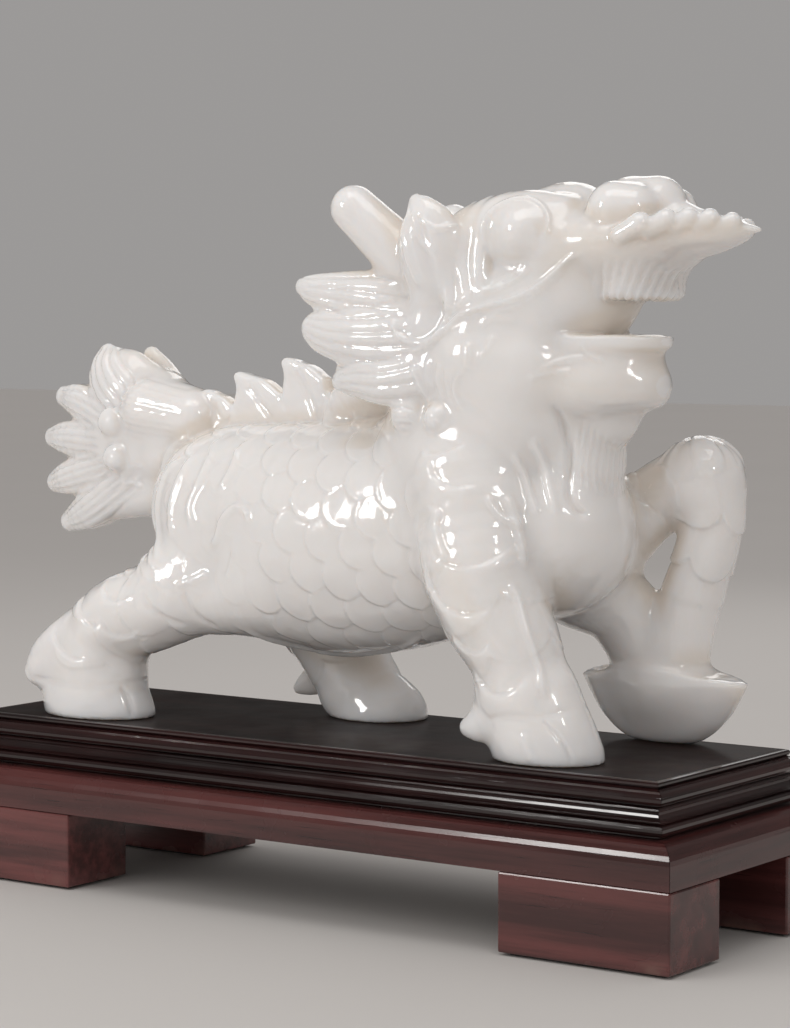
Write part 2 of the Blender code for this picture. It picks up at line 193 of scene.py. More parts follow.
class Boat:
    """The boat-shaped ingot: a hull, round below, with a top that rises towards both pointed ends."""

    shrink = 0.4
    paired = False
    narrowing = 0.34
    fullness_along, fullness_aside = 1.7, 1.9

    def __init__(self, x, y, half_length, half_width, middle_top, end_top):
        self.x, self.y = x, y
        self.half_length, self.half_width = half_length, half_width
        self.middle_top, self.end_top = middle_top, end_top

    def box(self):
        return (np.array([self.x - self.half_length, self.y - self.half_width, 0.0]),
                np.array([self.x + self.half_length, self.y + self.half_width, self.middle_top]))

    def distance(self, x, y, z):
        hull = np.clip((z + 1.5) / self.end_top, 0.02, 1.0) ** self.narrowing
        along = np.abs(x - self.x) / (self.half_length * hull)
        aside = np.abs(y - self.y) / (self.half_width * hull)
        ring = (along ** self.fullness_along + aside ** self.fullness_aside) ** 0.55
        wall = (ring - 1.0) * self.half_width * 0.9
        reach = (x - self.x) / self.half_length
        deck = z - self.middle_top - (self.end_top - self.middle_top) * reach ** 2
        return -smooth_min(-wall, -deck, 1.5)


class Drum:
    """An upright elliptic cylinder with rounded rims. Its wall leans out by flare mm per mm of height."""

    paired = False

    def __init__(self, x, rx, ry, bottom, top, rounding, flare=0.0):
        self.x, self.rx, self.ry = x, rx, ry
        self.bottom, self.top, self.rounding, self.flare = bottom, top, rounding, flare
        self.shrink = min(rx, ry) / max(rx, ry)

    def box(self):
        more = abs(self.flare) * (self.top - self.bottom)
        return (np.array([self.x - self.rx - more, -self.ry - more, self.bottom]),
                np.array([self.x + self.rx + more, self.ry + more, self.top]))

    def distance(self, x, y, z):
        lean = self.flare * (z - self.bottom)
        inner = np.hypot((x - self.x) / self.rx, y / self.ry)
        across = (inner - 1.0) * min(self.rx, self.ry) - lean + self.rounding
        up = np.abs(z - (self.top + self.bottom) / 2) - (self.top - self.bottom) / 2 + self.rounding
        across, up = np.broadcast_arrays(across, up)
        outside = np.hypot(np.maximum(across, 0.0), np.maximum(up, 0.0))
        return outside + np.minimum(np.maximum(across, up), 0.0) - self.rounding


class StoneBlock:
    """A grid of signed distances to the surface of the stone, negative inside it."""

    def __init__(self):
        self.low = np.array(BLOCK_LOW)
        self.count = [int(math.ceil((b - a) / CELL)) + 1 for a, b in zip(BLOCK_LOW, BLOCK_HIGH)]
        self.grid = np.full(self.count, FAR, np.float32)

    def _window(self, low, high):
        where, axes = [], []
        for axis in range(3):
            first = max(0, int((low[axis] - self.low[axis]) / CELL))
            last = min(self.count[axis], int(math.ceil((high[axis] - self.low[axis]) / CELL)) + 1)
            where.append(slice(first, last))
            axes.append((self.low[axis] + CELL * np.arange(first, last)).astype(np.float32))
        return tuple(where), axes[0][:, None, None], axes[1][None, :, None], axes[2][None, None, :]

    def _combine(self, form, blend, carve):
        low, high = form.box()
        margin = (blend + 3.0 * CELL) / form.shrink
        where, x, y, z = self._window(low - margin, high + margin)
        gap = form.distance(x, y, z).astype(np.float32)
        if carve:
            self.grid[where] = -smooth_min(-self.grid[where], gap, blend)
        else:
            self.grid[where] = smooth_min(self.grid[where], gap, blend)

    def join(self, forms, blend):
        for form in forms:
            self._combine(form, blend, carve=False)

    def carve(self, forms, blend):
        for form in forms:
            self._combine(form, blend, carve=True)

    def cut_flat(self):
        """Cuts the soles flat at the board."""
        z = self.low[2] + CELL * np.arange(self.count[2])
        self.grid = np.maximum(self.grid, -z.astype(np.float32)[None, None, :])

    def sample(self, points):
        """The distance at any points, by linear interpolation."""
        at = np.clip((points - self.low) / CELL, 0.0, np.array(self.count) - 1.001)
        i = at.astype(int)
        f = at - i
        total = 0.0
        for corner in np.ndindex(2, 2, 2):
            weight = np.prod(np.where(np.array(corner) == 1, f, 1.0 - f), axis=1)
            total = total + weight * self.grid[tuple((i + corner).T)]
        return total

    def normals(self, points):
        out = np.empty_like(points)
        for axis in range(3):
            shift = np.zeros(3)
            shift[axis] = 1.5 * CELL
            out[:, axis] = self.sample(points + shift) - self.sample(points - shift)
        return out / np.maximum(np.linalg.norm(out, axis=1, keepdims=True), 1e-6)

    def mesh(self):
        band = 3.0 * CELL
        volume = openvdb.FloatGrid(band)
        volume.copyFromArray(np.clip(self.grid, -band, band))
        points, quads = volume.convertToQuads(0.0)
        return np.asarray(points, float) * CELL + self.low, np.asarray(quads, int)


# ================================================================ the beast's masses

BODY = [
    Chain([(-78, 0, 97, 37), (-62, 0, 91, 46), (-35, 0, 87, 51), (0, 0, 87, 53), (40, 0, 93, 50),
           (72, 0, 96, 44)],
          (1.0, 0.86, 1.0)),
    Chain([(-76, -9, 98, 28.5), (-74, 9, 96, 31)]),
    Chain([(84, 0, 96, 41), (98, 3, 94, 37)]),
    Chain([(60, 0, 128, 42), (84, 0, 150, 41), (90, 0, 186, 33)]),
    Chain([(106, 0, 104, 25), (107, 0, 124, 22), (106, 0, 150, 25)]),
    Chain([(62, 0, 182, 29), (34, 0, 174, 23), (8, 0, 158, 16), (-12, 0, 144, 9)]),
]

LEGS = [
    Chain([(-69, -15, 86, 25), (-88, -26, 58, 20.5), (-118, -31, 45, 20), (-130, -32, 28, 19),
           (-130, -32, 16, 20)]),
    Chain([(-86, -27, 61, 20), (-60, -22, 60.5, 19.5), (-36, -17, 66, 24)]),
    Chain([(-74, 14, 84, 33), (-55, 28, 52, 21), (-38, 33, 31, 20), (-30, 35, 16, 19)]),
    Chain([(74, -18, 112, 32), (84, -30, 82, 26), (92, -33, 62, 23), (99.5, -33, 50, 21), (106, -33, 37, 19),
           (110.5, -33, 24, 18)]),
    Chain([(98, 24, 80, 25), (121, 38, 101.5, 16.5), (136, 43, 111.5, 15.5), (149, 45, 116, 16)]),
    Chain([(149, 45, 116.5, 16.3), (153.5, 45, 100, 13.6), (150.3, 45, 84, 13), (144, 45, 66, 13.3),
           (136.5, 45, 40, 14.8), (134, 45, 28, 17)]),
    Chain([(102, 24, 67, 18), (113, 36, 58, 17), (122, 45, 38, 17), (126, 45, 24, 17)]),
]
NEAR_HIND, NEAR_FLANK, FAR_HIND, NEAR_FORE, FAR_FOREARM, FAR_SHANK, _ = LEGS

HOOVES = [
    Chain([(-130, -32, 31, 17.5), (-133.5, -32, 12, 19.8), (-131, -32, 1, 20.5)], (1.42, 1.0, 1.0)),
    Chain([(-26, 35, 10, 18), (-17, 35, 1, 20)], (1.18, 1.0, 1.0)),
    Chain([(110, -33, 27, 18), (115, -33, 12, 19.5), (119.5, -32, 1, 19.5)], (1.26, 1.0, 1.0)),
]

SPURS = [
    Chain([(-137, -40, 37, 13), (-150, -43, 27, 12), (-161, -43, 19.5, 6.5)], LEAF),
    Chain([(-132, -42, 27, 14), (-154, -43, 20.5, 7.5)], LEAF),
    Chain([(-46, 35, 19, 10), (-57, 35, 13.5, 6.5), (-64.5, 35, 10, 3)], LEAF),
    Chain([(102, -41, 28, 12), (92, -43, 16, 6.5), (84.5, -43, 12.3, 3.5)], LEAF),
    Chain([(104, -41, 18, 11), (90.5, -43, 12.5, 4.5)], LEAF),
]

INGOT = Boat(130.0, 45.0, 41.0, 17.0, 31.5, 28.5)

SKULL = [
    Chain([(84, -18, 219, 16), (101, -18, 221.5, 17), (114, -12, 217, 16)], paired=True),
    Chain([(112, 0, 213, 29), (128, 0, 214, 28), (143, 0, 214, 24)], (1.0, 1.0, 0.62)),
    Chain([(90, 4, 221, 19), (105, 5, 226.5, 18), (118, 2, 226, 13)]),
    Chain([(76, 0, 203, 30), (96, 0, 207, 28)]),
    Chain([(66, 0, 213, 20), (96, 0, 218, 19), (122, 0, 220, 14)]),
    Chain([(104, 0, 208, 25), (126, 0, 212, 20), (140, 0, 216, 16)]),
    Chain([(78, -19, 168, 25), (96, -16, 166, 24)], paired=True),
    Chain([(80, -15, 190, 25), (102, -11, 191, 23), (113, -7, 197, 20)], paired=True),
    Chain([(66, -24, 210, 9), (72, -24, 219, 9), (84, -23, 226, 10), (99, -19, 230, 9), (113, -14, 230, 8)],
          paired=True),
]

PALATE = Chain([(108, 0, 204, 35)], (1.0, 0.85, 1.0))
FRINGE = Drum(143.0, 17.5, 21.0, 193.5, 214.0, 3.0, flare=0.10)
LIP_PLATE = Chain([(132, 0, 220, 27), (150, 0, 219.5, 24.5), (170, 0, 220.5, 18), (184, 0, 221.5, 11.5),
                   (192.5, 0, 222.7, 5.4), (198.3, 0, 222.4, 2.4)], (1.0, 1.0, 0.5))
NOSE = [
    Chain([(139, 0, 232, 13.6), (150.5, 1, 232.7, 13)]),
    Chain([(154, 0, 228, 11), (170, 0, 225, 7)]),
    Chain([(139, -13.5, 231.5, 12), (146, -11, 231, 11.5)]),
    Chain([(141, 15, 231, 12), (151, 13, 230.5, 11)]),
]
LIP_BAND = [(134, -27.5, 218), (146, -27, 221.5), (158.7, -24.5, 223.5), (168.5, -20, 225), (176, -16, 225.5),
            (183.5, -12, 225.5), (190, -7.5, 224.5), (195.5, -4, 223.5)]
LIP_NOTCHES = [147, 158.7, 168.5, 176.5, 184.5, 192]
FOLD_RADII = (5.4, 3.6)
FOLD_INSET = 1.5
FAR_FOLD_DROP = 2.5

LOWER_JAW = [
    Chain([(98, 0, 159, 33), (122, 0, 158, 27), (138.5, 0, 157.5, 17)], (1.0, 1.0, 0.66)),
    Chain([(116, 0, 146, 18), (127, 0, 145, 14.5)]),
    Drum(106.0, 46.0, 25.0, 150.0, 178.0, 2.0, flare=0.03),
]
JAW_RIM = Drum(106.0, 50.5, 24.6, 173.0, 178.8, 1.6, flare=0.15)
MOUTH_CORNER = Chain([(118, -42, 190, 9), (128, -35, 188, 9), (140, -30, 186, 7)], paired=True)
JAW_TROUGH = Chain([(124, 0, 188, 13), (147, 0, 186, 10)], (1.0, 1.1, 1.0))
BEARD = Chain([(118.5, 0, 140, 14), (118.5, 0, 122, 14), (119.5, 0, 112, 8.5)], (1.0, 1.2, 1.0))

EYE = ball(101.5, -26, 222.5, 11.6, paired=True)
BROW_BANDS = [
    Chain([(91, -20, 235, 4), (87, -28, 229, 5.5), (84, -31, 216, 5.5), (85, -34, 204, 4.6),
           (87, -35, 196, 3)],
          paired=True),
    Chain([(82, -21, 234, 4), (78, -29, 226, 5.5), (76, -32, 214, 5.5), (78, -35, 202, 4.4),
           (80, -36, 194, 3)],
          paired=True),
    Chain([(75, -22, 232, 4), (71, -31, 224, 5), (69, -34, 211, 5), (71, -37, 199, 4), (73, -38, 192, 3)],
          paired=True),
]
EAR = [
    Chain([(64, -34, 196, 8), (60, -37, 206, 11.5), (59.5, -38, 219, 12.5), (59, -38, 228, 9.5),
           (54.5, -38, 235.5, 3.6)], LEAF, paired=True),
    Chain([(68, -35, 204, 8), (67, -36, 218, 9), (65, -36, 227, 6.5)], LEAF, paired=True),
]
EAR_HOLLOW = Chain([(67, -45.5, 203, 2.5), (63, -47.5, 216, 4.5), (59, -46, 228, 2.5)], paired=True)
EAR_PAD = Chain([(58, -30, 194, 11), (58, -30, 184, 11)], paired=True)
HORNS = [
    Chain([(56, -22, 199, 14), (45, -27, 208.5, 12.7), (34, -31, 219.5, 11.6), (19.6, -35.5, 233.4, 10.2)]),
    Chain([(58, 22, 196, 14), (48, 27, 204, 13), (38, 31, 213, 12), (24, 35, 227, 10)]),
]

LOCKS = [
    Chain([(58, -24, 190, 16), (32, -33, 194, 13), (12, -36, 196.5, 9.5), (0, -37, 198, 7.2),
           (-7, -37, 199.5, 4.2)],
          LEAF, paired=True),
    Chain([(62, -30, 178, 17), (30, -36, 177, 15), (11, -38, 178.5, 11), (1.5, -38, 181, 7.5),
           (-2, -38, 182, 4.6)],
          LEAF, paired=True),
    Chain([(64, -33, 164, 14), (42, -38, 160, 12), (27, -39, 160, 9.2), (18.5, -39, 159.5, 6.4),
           (15, -39, 158.5, 4.3)],
          LEAF, paired=True),
]
CURLS = [ball(50, -35, 144.5, 9, paired=True), ball(67, -39, 143.5, 6.2, paired=True)]

TAIL = [
    Chain([(-88, 0, 114, 17), (-112, 0, 124, 18)], (1.0, 0.8, 1.0)),
    Chain([(-118, 0, 128, 27), (-140, 0, 127, 26)], (1.0, 0.5, 1.0)),
    Chain([(-118, 0, 104, 12), (-148, 0, 100, 11)], (1.0, 0.8, 1.0)),
]
TAIL_FAN_ROOT = (-112, 124)
LOBE_TIP_RADIUS = 5.2
# Lobes of the tail's fan: (tip x, tip z, belly x, belly z, belly radius).
TAIL_LOBES = [(-152, 168, -147, 154.5, 13), (-180, 147.5, -163, 144, 9.5), (-187.5, 127.5, -170, 127.5, 9.5),
              (-186, 106, -170, 109.5, 9.5), (-177.5, 87, -158, 95.5, 10.5)]


def tail_lobe(tip_x, tip_z, belly_x, belly_z, radius):
    """A flame of the tail's fan: it swells half way and ends in a blunt point."""
    root_x, root_z = TAIL_FAN_ROOT
    middle = ((root_x + belly_x) / 2, -4, (root_z + belly_z) / 2, radius)
    return Chain([(root_x, -1, root_z, radius), middle, (belly_x, -3, belly_z, radius),
                  (tip_x, 0, tip_z, LOBE_TIP_RADIUS)], (1.0, 0.62, 1.0), paired=True)


LOBES = [tail_lobe(*lobe) for lobe in TAIL_LOBES]
TAIL_SWELLS = [
    Chain([(-98, -3, 139, 13), (-121, -5, 142.5, 14.5)]),
    Chain([(-98, 3, 138, 13), (-121, 6, 141, 13.5)]),
    Chain([(-118, 8, 143, 13), (-130, 13, 157, 9.5), (-136.5, 14, 167, 5)], LEAF),
    Chain([(-126, 2, 148, 14), (-139, 2, 158, 12)], LEAF),
]
TAIL_CURLS = [ball(-139, -11, 136, 7), ball(-137, -11.5, 119, 6), ball(-138, 12, 134, 7)]

CREST_FOOT = 134.0
CREST_HALF_WIDTH, CREST_ROUNDING = 4.6, 2.6
CREST_BASE = Chain([(-92, 0, 131, 8), (-80, 0, 137, 8), (-40, 0, 139, 9), (-6, 0, 143, 11)], LEAF)
# Teeth of the crest lean back: (x of the tip, height of the tip, length along the spine).
CREST_TEETH = [(-89, 151.5, 20), (-70, 160, 28), (-42, 166.5, 25)]


def crest_tooth(tip_x, tip_z, length):
    """A wave that rises steeply to a tip at its back and rolls away forwards."""
    outline = [(tip_x - 3, CREST_FOOT), (tip_x - 2, tip_z - 8), (tip_x - 3.5, tip_z - 1), (tip_x, tip_z + 1),
               (tip_x + 0.3 * length, tip_z - 1), (tip_x + 0.55 * length, tip_z - 3),
               (tip_x + 0.75 * length, tip_z - 6.5), (tip_x + 0.9 * length, tip_z - 11),
               (tip_x + length + 1, CREST_FOOT)]
    return Slab(outline, CREST_HALF_WIDTH, CREST_ROUNDING)


def carve_stone():
    """Builds the block of stone, from the large masses to the small forms. Each number is how far, in mm, a
    form flows into what it meets."""
    block = StoneBlock()
    block.join(BODY, 7.0)
    block.join(LEGS, 7.0)
    block.join(HOOVES, 3.0)
    block.join(SPURS, 4.0)
    block.join([INGOT], 7.0)
    block.join(SKULL, 6.0)
    block.join(LOWER_JAW, 5.0)
    block.join([JAW_RIM], 2.5)
    block.carve([JAW_TROUGH], 2.0)
    block.join([FRINGE], 3.0)
    block.carve([MOUTH_CORNER], 4.0)
    block.join([PALATE], 3.0)
    block.join([LIP_PLATE], 5.0)
    block.join(NOSE, 2.2)
    block.join(lip_folds(), 1.2)
    block.join([BEARD], 1.5)
    block.join([EYE], 2.5)
    block.join(BROW_BANDS, 2.5)
    block.join(HORNS, 2.5)
    block.join([EAR_PAD], 4.0)
    block.join(EAR, 2.5)
    block.carve([EAR_HOLLOW], 2.0)
    block.join(LOCKS, 3.0)
    block.join(CURLS, 2.5)
    block.join(TAIL, 2.5)
    block.join(LOBES, 2.0)
    block.join(TAIL_SWELLS, 5.0)
    block.join(TAIL_CURLS, 3.0)
    block.join([CREST_BASE], 3.0)
    block.join([crest_tooth(*tooth) for tooth in CREST_TEETH], 1.6)
    block.cut_flat()
    return block


def lip_folds():
    """The rolled lip: a band round the plate that is gathered into folds, smaller towards the tip."""
    path = eased(LIP_BAND, 6)
    folds = []
    for first, last in zip(LIP_NOTCHES[:-1], LIP_NOTCHES[1:]):
        x = np.array([first + FOLD_INSET, last - FOLD_INSET])
        y, z = [np.interp(x, path[:, 0], path[:, axis]) for axis in (1, 2)]
        size = np.interp(first, (LIP_NOTCHES[0], LIP_NOTCHES[-1]), FOLD_RADII)
        for side, drop in ((1, 0.0), (-1, FAR_FOLD_DROP)):
            folds.append(Chain([(x[0], side * (y[0] + 1.5), z[0] - 1.5 - drop, 0.8 * size),
                                (x[1], side * (y[1] + 1.0), z[1] + 1.5 - drop, size)]))
    return folds


# ================================================================ lines cut into the surface

class Surface:
    """The meshed stone while lines are cut into it. Each line adds to the height of the points near it."""

    def __init__(self, block):
        self.block = block
        self.points, self.quads = block.mesh()
        self.normals = block.normals(self.points)
        self.height = np.zeros(len(self.points))
        self.right = self.points.copy()
        self.right[:, 1] = -np.abs(self.points[:, 1])
        self.right_normals = self.normals.copy()
        self.right_normals[self.points[:, 1] > 0, 1] *= -1

    def lay(self, line, start_y=-70.0):
        """Lays a line, given from the side as (x, z), onto the first stone met beyond start_y."""
        flat = eased(line, 5)
        step = 1.0 if start_y < 0 else -1.0
        laid = np.column_stack([flat[:, 0], np.full(len(flat), start_y), flat[:, 1]])
        for _ in range(110):
            laid[:, 1] += step * np.clip(0.6 * self.block.sample(laid), 0.0, 2.0)
        return laid

    def near(self, path, reach, paired):
        """The points within reach of a path: their indices, distance to it, share along it and side of it."""
        places = self.right if paired else self.points
        facing = self.right_normals if paired else self.normals
        pick = np.where(np.all((places > path.min(0) - reach) & (places < path.max(0) + reach), axis=1))[0]
        p, n = places[pick], facing[pick]
        best = np.full(len(pick), 1e9)
        share = np.zeros(len(pick))
        side = np.ones(len(pick))
        for i, (a, b) in enumerate(zip(path[:-1], path[1:])):
            run = b - a
            t = np.clip((p - a) @ run / (run @ run + 1e-9), 0.0, 1.0)
            off = p - a - t[:, None] * run
            gap = np.linalg.norm(off, axis=1)
            closer = gap < best
            best[closer] = gap[closer]
            share[closer] = (i + t[closer]) / (len(path) - 1)
            side[closer] = np.sign(np.einsum("ij,ij->i", np.cross(n, run), off))[closer]
        keep = best < reach
        return pick[keep], best[keep], share[keep], side[keep]

    def ridge(self, line, width, height, paired=False, start_y=-70.0):
        """A raised cord, or a groove where height is negative, that fades at both ends."""
        path = self.lay(line, start_y)
        pick, gap, share, _ = self.near(path, 3.0 * width, paired)
        fade = smooth_step(6.0 * np.minimum(share, 1.0 - share) + 0.15)
        self.height[pick] += height * fade * np.exp(-(gap / width) ** 2)

    def step(self, line, height, fall, paired=False, start_y=-70.0, edge=0.8):
        """The free edge of a plate: the stone on the right of the line, seen from outside, stands proud of it
        and falls back over the distance fall."""
        path = self.lay(line, start_y)
        pick, gap, share, side = self.near(path, 2.2 * fall, paired)
        fade = smooth_step(5.0 * np.minimum(share, 1.0 - share))
        proud = smooth_step(0.5 + 0.5 * side * gap / edge) * np.exp(-(gap / fall) ** 2)
        self.height[pick] += height * fade * (proud - 0.35 * np.exp(-(gap / edge) ** 2))

    def on_form(self, form, depth=2.0):
        """How far each point belongs to a form's own surface, from 0 to 1."""
        p = self.points
        gap = np.abs(form.distance(p[:, 0], p[:, 1], p[:, 2]))
        return smooth_step(1.5 - gap / depth)

    def flutes(self, form, count, depth, start=0.15, end=0.97):
        """Grooves that run along a lock or a lobe, seen from the side."""
        belongs = self.on_form(form)
        pick = np.where(belongs > 0.0)[0]
        places = self.right if form.paired else self.points
        along, across, _, length = along_and_across(form, places[pick])
        share = along / length
        wave = np.cos(math.pi * count * across)
        groove = np.clip(0.5 - 0.5 * wave, 0.0, 1.0) ** 4
        fade = smooth_step((share - start) / 0.15) * smooth_step((end - share) / 0.08 + 0.2)
        fade *= smooth_step((1.15 - np.abs(across)) / 0.25)
        self.height[pick] -= depth * groove * fade * belongs[pick]


def along_and_across(form, points):
    """Where points lie on a chain: how far along it in mm, how far across it in the x-z plane and how far out
    in y, both in radii. Near a bend the spans are mixed, so that the values change smoothly."""
    p = points / form.squash
    spans = list(zip(form.path[:-1], form.path[1:]))
    gaps, values = [], []
    reach = 0.0
    for a, b in spans:
        run = b[:3] - a[:3]
        length = np.linalg.norm(run)
        t = np.clip((p - a[:3]) @ run / length ** 2, 0.0, 1.0)
        off = p - a[:3] - t[:, None] * run
        radius = a[3] + t * (b[3] - a[3])
        flat = np.array([-run[2], 0.0, run[0]]) / (math.hypot(run[0], run[2]) + 1e-9)
        gaps.append(np.linalg.norm(off, axis=1) - radius)
        values.append((reach + t * length, off @ flat / radius, off[:, 1] / radius))
        reach += length
    gaps = np.array(gaps)
    weight = np.exp(-(gaps - gaps.min(0)) / 0.8)
    weight /= weight.sum(0)
    along, across, out = np.einsum("sp,svp->vp", weight, np.array(values))
    return along, across, out, reach


# The mean height of a shingled surface, which is taken off so that cutting does not swell the form.
MEAN_SHINGLE = 0.4


def shingle(u, v, pitch_u, pitch_v, radius, soft):
    """Height, 0 to 1, of overlapping round scales with their free edges towards +u. Rows are staggered."""
    height = np.zeros(len(u))
    row = np.floor(u / pitch_u)
    for ahead in (2, 1, 0, -1, -2):
        at = row + ahead
        stagger = 0.5 * np.mod(at, 2.0)
        cu = (at + 0.5) * pitch_u
        cv = (np.round(v / pitch_v - stagger) + stagger) * pitch_v
        wobble = np.sin(cu * 1.7 + cv * 2.3)
        du, dv = u - cu - 0.8 * wobble, v - cv + 0.8 * np.cos(cu * 2.9 + cv)
        gap = np.hypot(du, dv)
        rise = 0.45 + 0.5 * du / radius + (0.10 + 0.12 * wobble) * dv / radius
        rim = 0.18 * np.exp(-((radius - gap - 1.3) / 1.1) ** 2)
        own = rise + 0.22 * (1.0 - (gap / radius) ** 2) + rim
        cover = smooth_step((radius - gap) / soft)
        height += (own - height) * cover
    return height


def noise(points, size, seed):
    """Smooth random values from -1 to 1 over blobs of the given size."""
    values = np.random.default_rng(seed).uniform(-1.0, 1.0, (32, 32, 32))
    at = points / size + 100.0
    i = np.floor(at).astype(int)
    f = smooth_step(at - i)
    total = 0.0
    for corner in np.ndindex(2, 2, 2):
        weight = np.prod(np.where(np.array(corner) == 1, f, 1.0 - f), axis=1)
        total = total + weight * values[tuple(np.mod(i + corner, 32).T)]
    return total


# ------------------------------------------------------------ the carver's lines, seen from the side (x, z)

# Cords and grooves: (points, width, height). A groove has a height below zero.
FACE_CORDS = [
    ([(131, 212.6), (125, 210.6), (115, 202), (103, 194.4), (91, 191.4), (79, 187.5), (70, 180.5),
      (60, 173.4),
      (47, 172)], 1.1, 1.9),
    ([(124, 207), (114, 198.5), (104, 191.5), (92, 188.5)], 0.8, 0.9),
    ([(43.4, 187), (49, 178), (58, 175.5), (66.5, 179), (71, 186), (72, 195)], 1.1, 1.5),
    ([(56, 233), (60, 222), (68, 212)], 1.4, 1.0),
    ([(51, 224), (55, 210), (60, 199)], 1.4, 0.9),
    ([(60, 229), (68, 224), (76, 226)], 1.2, 0.9),
    ([(44, 147), (50, 148), (56, 147)], 0.9, -0.8),
    ([(43, 143.5), (50, 144), (57, 143.5)], 0.9, -0.8),
    ([(45, 140), (50, 140.5), (55, 140)], 0.9, -0.8),
    ([(86, 196.6), (99, 200.5), (108, 208)], 1.0, 1.2),
    ([(91, 199), (99, 203.5), (105, 209)], 0.9, 0.7),
    ([(76, 191), (84, 197)], 1.0, 0.8),
    ([(88, 182), (94, 187), (104, 186)], 1.2, 0.6),
    ([(90, 169), (93, 174), (95, 179)], 1.2, 0.8),
    ([(84, 176), (84, 170), (84, 164)], 1.8, 1.0),
    ([(56, 166), (59, 158), (63, 149)], 1.2, 1.0),
    ([(82, 165), (77, 156), (81, 147)], 1.2, 1.0),
    ([(70, 168), (68, 160), (70, 152)], 1.1, 0.7),
    ([(74, 166), (73, 158), (75, 150)], 1.0, 0.6),
    ([(64, 169), (63, 163), (65, 155)], 1.0, 0.6),
]
JAW_CORDS = [
    ([(114, 165), (122, 168.5), (131, 170)], 1.2, 0.8),
    ([(110, 161), (118, 163.5), (126, 164)], 1.3, 0.8),
    ([(128, 176), (132, 171), (138, 168)], 1.0, 0.6),
]
BEARD_EDGE = [
    ([(117, 150), (119.5, 142), (120.5, 130), (120.5, 119), (122, 111), (125.5, 105.5),
      (129, 103.5)], 1.8, -2.0),
]
NECK_FACETS = [
    ([(108, 136), (112, 120), (119, 103)], 1.9, 1.9),
    ([(101, 130), (106, 115), (112, 103)], 1.4, 1.4),
    ([(95, 112), (100, 104), (108, 98)], 1.3, 1.2),
]
HAUNCH_CORDS = [
    ([(-56, 82), (-52, 87), (-49, 95), (-43, 101), (-37, 101), (-31, 95)], 1.5, 1.5),
    ([(-89, 131), (-100, 127), (-106, 116), (-107, 100), (-103, 82), (-97, 68)], 1.8, 1.4),
    ([(-85, 121), (-93, 114), (-95, 100), (-92, 86), (-86, 74)], 2.2, 1.5),
    ([(-76, 124), (-80, 112), (-82, 98), (-79, 86)], 2.2, 1.3),
    ([(-66, 126), (-67, 112), (-70, 100), (-66, 90)], 2.0, 1.1),
    ([(-52, 127), (-50, 118), (-53, 108)], 1.8, 1.0),
    ([(-95, 81), (-91, 75), (-84, 71)], 1.3, 1.0),
    ([(-74, 64), (-66, 67), (-58, 71)], 1.3, 1.1),
    ([(-47, 69), (-44, 75), (-42, 82)], 1.0, 0.7),
]
BELLY_CORDS = [
    ([(-48, 47), (-36, 39), (-18, 35), (2, 35), (24, 39), (48, 48)], 1.5, 1.4),
    ([(-70, 62), (-66, 52), (-58, 45)], 1.6, -0.9),
    ([(-92, 62), (-84, 52), (-72, 46)], 1.6, -0.8),
]
# The free edges of plates: (points, height, how far the plate runs back).
SHOULDER_STEPS = [
    ([(93, 116), (84, 115), (77, 116), (71, 120), (69, 127)], 1.4, 8.0),
    ([(84, 134), (76, 130), (68, 128), (61, 131)], 1.0, 7.0),
    ([(86, 84), (81, 90), (77, 98), (77, 105), (66, 108)], 1.5, 9.0),
    ([(108, 92), (100, 84), (92, 82), (80, 84), (72, 92)], 1.2, 8.0),
    ([(106, 66), (98, 63), (90, 62.5), (82, 65), (74, 72), (68, 84)], 1.5, 9.0),
    ([(119, 38), (113, 31), (105, 29), (98, 32), (93, 39)], 1.5, 9.0),
    ([(104, 52), (98, 47), (90, 48), (84, 54)], 1.1, 8.0),
]
SHIN_FACETS = [
    ([(101, 112), (106, 98), (110, 80)], 1.9, 1.6),
    ([(108, 76), (114, 60), (120, 44), (126, 28)], 1.8, 1.7),
]
HIND_STEPS = [
    ([(-96, 60), (-104, 56), (-112, 57), (-118, 64)], 1.3, 8.0),
    ([(-110, 45), (-119, 44), (-128, 50), (-132, 58)], 1.3, 8.0),
    ([(-118, 30), (-129, 28), (-140, 33), (-147, 43)], 1.3, 8.0),
    ([(-94, 44), (-102, 40), (-110, 42), (-114, 50)], 1.0, 7.0),
]
# Grooves over the hooves: (points, width, height, the y that the line is laid from).
CUFFS = [
    ([(-162, 17), (-140, 16), (-120, 16), (-98, 18)], 1.5, -0.5, -70.0),
    ([(98, 17), (110, 20), (124, 21), (136, 24)], 1.4, -0.6, -70.0),
    ([(-52, 12), (-38, 14), (-22, 16), (-8, 20)], 1.3, -1.0, 70.0),
]
TOE_LINES = [
    ([(126, 20), (134, 11), (139, 1)], 1.1, -1.1),
    ([(118, 14), (121, 7), (123, 1)], 2.0, 0.7),
    ([(-110, 16), (-106, 8), (-104, 1)], 1.4, -1.0),
]
TAIL_CORDS = [
    ([(-145, 131), (-141, 141), (-133, 142), (-128, 138)], 1.3, 1.2),
    ([(-143, 114), (-139, 124), (-131, 123)], 1.2, 1.1),
    ([(-143, 105), (-133, 108), (-122, 106)], 1.3, 1.0),
    ([(-120, 116), (-130, 115), (-137, 110)], 1.2, 0.8),
]


SCALE_LEAN = math.radians(24.0)
SCALE_PITCH, SCALE_WIDTH, SCALE_RADIUS, SCALE_HEIGHT = 14.5, 21.0, 13.2, 1.5
BARREL_AXIS_Z, BARREL_RADIUS = 90.0, 50.0


